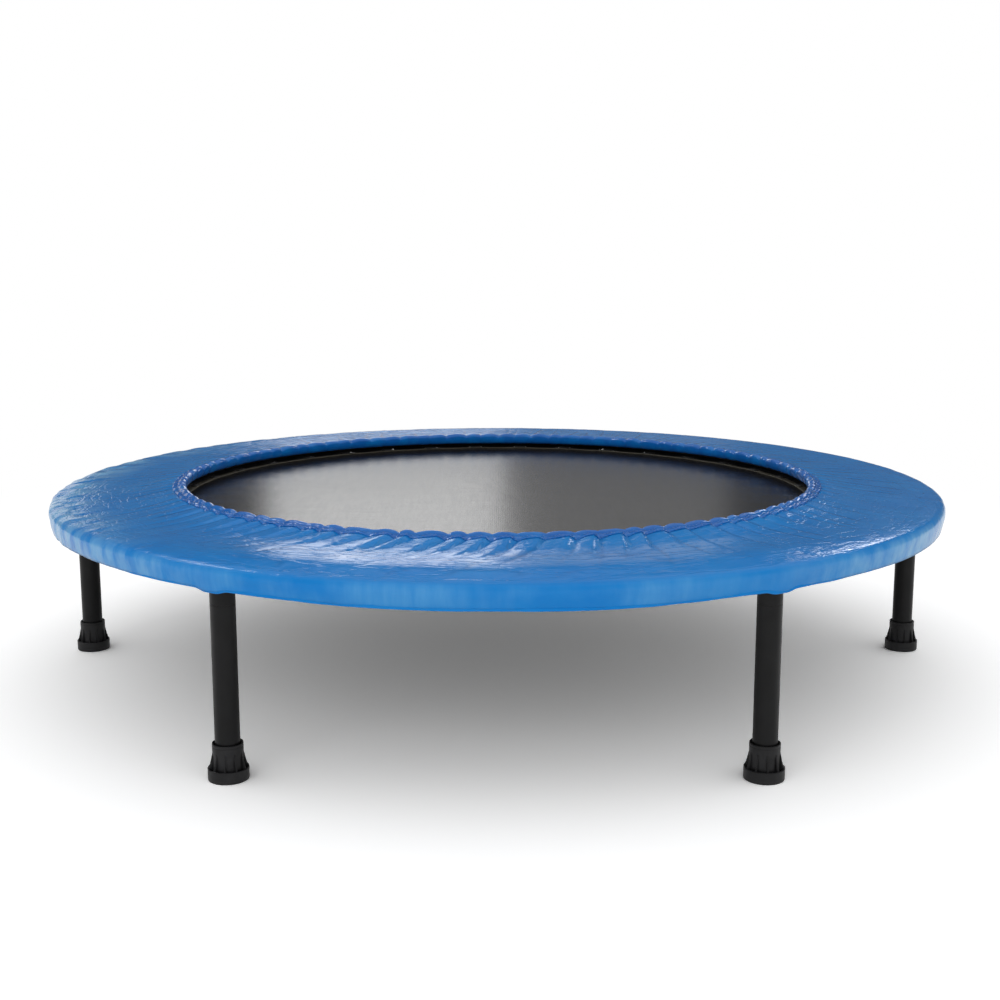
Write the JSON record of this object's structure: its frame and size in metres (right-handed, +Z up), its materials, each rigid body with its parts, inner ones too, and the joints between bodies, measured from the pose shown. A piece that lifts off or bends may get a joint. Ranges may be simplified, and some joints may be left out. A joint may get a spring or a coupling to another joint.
{
  "type": "mini trampoline",
  "caption": "Round low trampoline on screw-in legs, with a sprung woven mat and a gathered padded cover over its springs.",
  "frame": {"origin": "centre of the trampoline, on the floor under its feet", "axes": "+Z up through the middle of the mat; +X through the middle of leg 1"},
  "size_m": [1.1016, 1.1008, 0.2348],
  "materials": {
    "frame_paint": "satin black powder coat",
    "leg_paint": "satin black powder coat",
    "zinc": "zinc plated",
    "spring_steel": "galvanised spring wire",
    "foot_rubber": "matt black moulded rubber",
    "washer_plastic": "matt black",
    "plug_plastic": "black moulded nylon",
    "mat_fabric": "woven polypropylene, slightly glossy",
    "webbing": "woven webbing",
    "pad_vinyl": "blue coated vinyl, glossy",
    "liner": "plain black non-woven sheet",
    "foam": "closed-cell foam",
    "elastic": "black braided elastic"
  },
  "bodies": {
    "frame": {"frame_ring": "frame_paint", "leg_stub_1": "frame_paint", "leg_stub_2": "frame_paint", "leg_stub_3": "frame_paint", "leg_stub_4": "frame_paint", "leg_stub_5": "frame_paint", "leg_stub_6": "frame_paint", "stub_nuts": "zinc", "springs_1": "spring_steel", "springs_2": "spring_steel", "springs_3": "spring_steel", "springs_4": "spring_steel", "springs_5": "spring_steel", "springs_6": "spring_steel", "pad_foam": "foam", "pad_liner": "liner", "pad_cover": "pad_vinyl", "pad_rim": "pad_vinyl", "pad_hem": "pad_vinyl", "rim_cord": "elastic", "hem_cord": "elastic"},
    "mat": {"mat": "mat_fabric", "mat_hem": "webbing", "mat_tabs": "webbing", "mat_rings": "zinc"},
    "washer_1": {"leg_washer_1": "washer_plastic"},
    "leg_1": {"leg_tube_1": "leg_paint", "leg_plug_1": "plug_plastic", "leg_bolt_1": "zinc", "foot_1": "foot_rubber"},
    "washer_2": {"leg_washer_2": "washer_plastic"},
    "leg_2": {"leg_tube_2": "leg_paint", "leg_plug_2": "plug_plastic", "leg_bolt_2": "zinc", "foot_2": "foot_rubber"},
    "washer_3": {"leg_washer_3": "washer_plastic"},
    "leg_3": {"leg_tube_3": "leg_paint", "leg_plug_3": "plug_plastic", "leg_bolt_3": "zinc", "foot_3": "foot_rubber"},
    "washer_4": {"leg_washer_4": "washer_plastic"},
    "leg_4": {"leg_tube_4": "leg_paint", "leg_plug_4": "plug_plastic", "leg_bolt_4": "zinc", "foot_4": "foot_rubber"},
    "washer_5": {"leg_washer_5": "washer_plastic"},
    "leg_5": {"leg_tube_5": "leg_paint", "leg_plug_5": "plug_plastic", "leg_bolt_5": "zinc", "foot_5": "foot_rubber"},
    "washer_6": {"leg_washer_6": "washer_plastic"},
    "leg_6": {"leg_tube_6": "leg_paint", "leg_plug_6": "plug_plastic", "leg_bolt_6": "zinc", "foot_6": "foot_rubber"}
  },
  "joints": [
    {"name": "mat_bounce", "type": "slide", "parent": "frame", "child": "mat", "axis": [0, 0, -1], "range_m": [0, 0.06], "stiffness_N_per_m": 13000, "deforming": ["springs_1", "springs_2", "springs_3", "springs_4", "springs_5", "springs_6"]},
    {"name": "leg_1_drop", "type": "slide", "parent": "frame", "child": "washer_1", "axis": [0, 0, -1], "range_m": [0, 0.012]},
    {"name": "leg_1_screw", "type": "hinge", "parent": "washer_1", "child": "leg_1", "pos_m": [0.53, 0, 0.178], "axis": [0, 0, -1], "range_deg": [0, 2881]},
    {"name": "leg_2_drop", "type": "slide", "parent": "frame", "child": "washer_2", "axis": [0, 0, -1], "range_m": [0, 0.012]},
    {"name": "leg_2_screw", "type": "hinge", "parent": "washer_2", "child": "leg_2", "pos_m": [0.265, 0.45899, 0.178], "axis": [0, 0, -1], "range_deg": [0, 2881]},
    {"name": "leg_3_drop", "type": "slide", "parent": "frame", "child": "washer_3", "axis": [0, 0, -1], "range_m": [0, 0.012]},
    {"name": "leg_3_screw", "type": "hinge", "parent": "washer_3", "child": "leg_3", "pos_m": [-0.265, 0.45899, 0.178], "axis": [0, 0, -1], "range_deg": [0, 2881]},
    {"name": "leg_4_drop", "type": "slide", "parent": "frame", "child": "washer_4", "axis": [0, 0, -1], "range_m": [0, 0.012]},
    {"name": "leg_4_screw", "type": "hinge", "parent": "washer_4", "child": "leg_4", "pos_m": [-0.53, 0, 0.178], "axis": [0, 0, -1], "range_deg": [0, 2881]},
    {"name": "leg_5_drop", "type": "slide", "parent": "frame", "child": "washer_5", "axis": [0, 0, -1], "range_m": [0, 0.012]},
    {"name": "leg_5_screw", "type": "hinge", "parent": "washer_5", "child": "leg_5", "pos_m": [-0.265, -0.45899, 0.178], "axis": [0, 0, -1], "range_deg": [0, 2881]},
    {"name": "leg_6_drop", "type": "slide", "parent": "frame", "child": "washer_6", "axis": [0, 0, -1], "range_m": [0, 0.012]},
    {"name": "leg_6_screw", "type": "hinge", "parent": "washer_6", "child": "leg_6", "pos_m": [0.265, -0.45899, 0.178], "axis": [0, 0, -1], "range_deg": [0, 2881]}
  ],
  "couplings": [
    {"joint": "leg_1_screw", "follows": "leg_1_drop", "rad_per_m": 4188.8},
    {"joint": "leg_2_screw", "follows": "leg_2_drop", "rad_per_m": 4188.8},
    {"joint": "leg_3_screw", "follows": "leg_3_drop", "rad_per_m": 4188.8},
    {"joint": "leg_4_screw", "follows": "leg_4_drop", "rad_per_m": 4188.8},
    {"joint": "leg_5_screw", "follows": "leg_5_drop", "rad_per_m": 4188.8},
    {"joint": "leg_6_screw", "follows": "leg_6_drop", "rad_per_m": 4188.8}
  ]
}
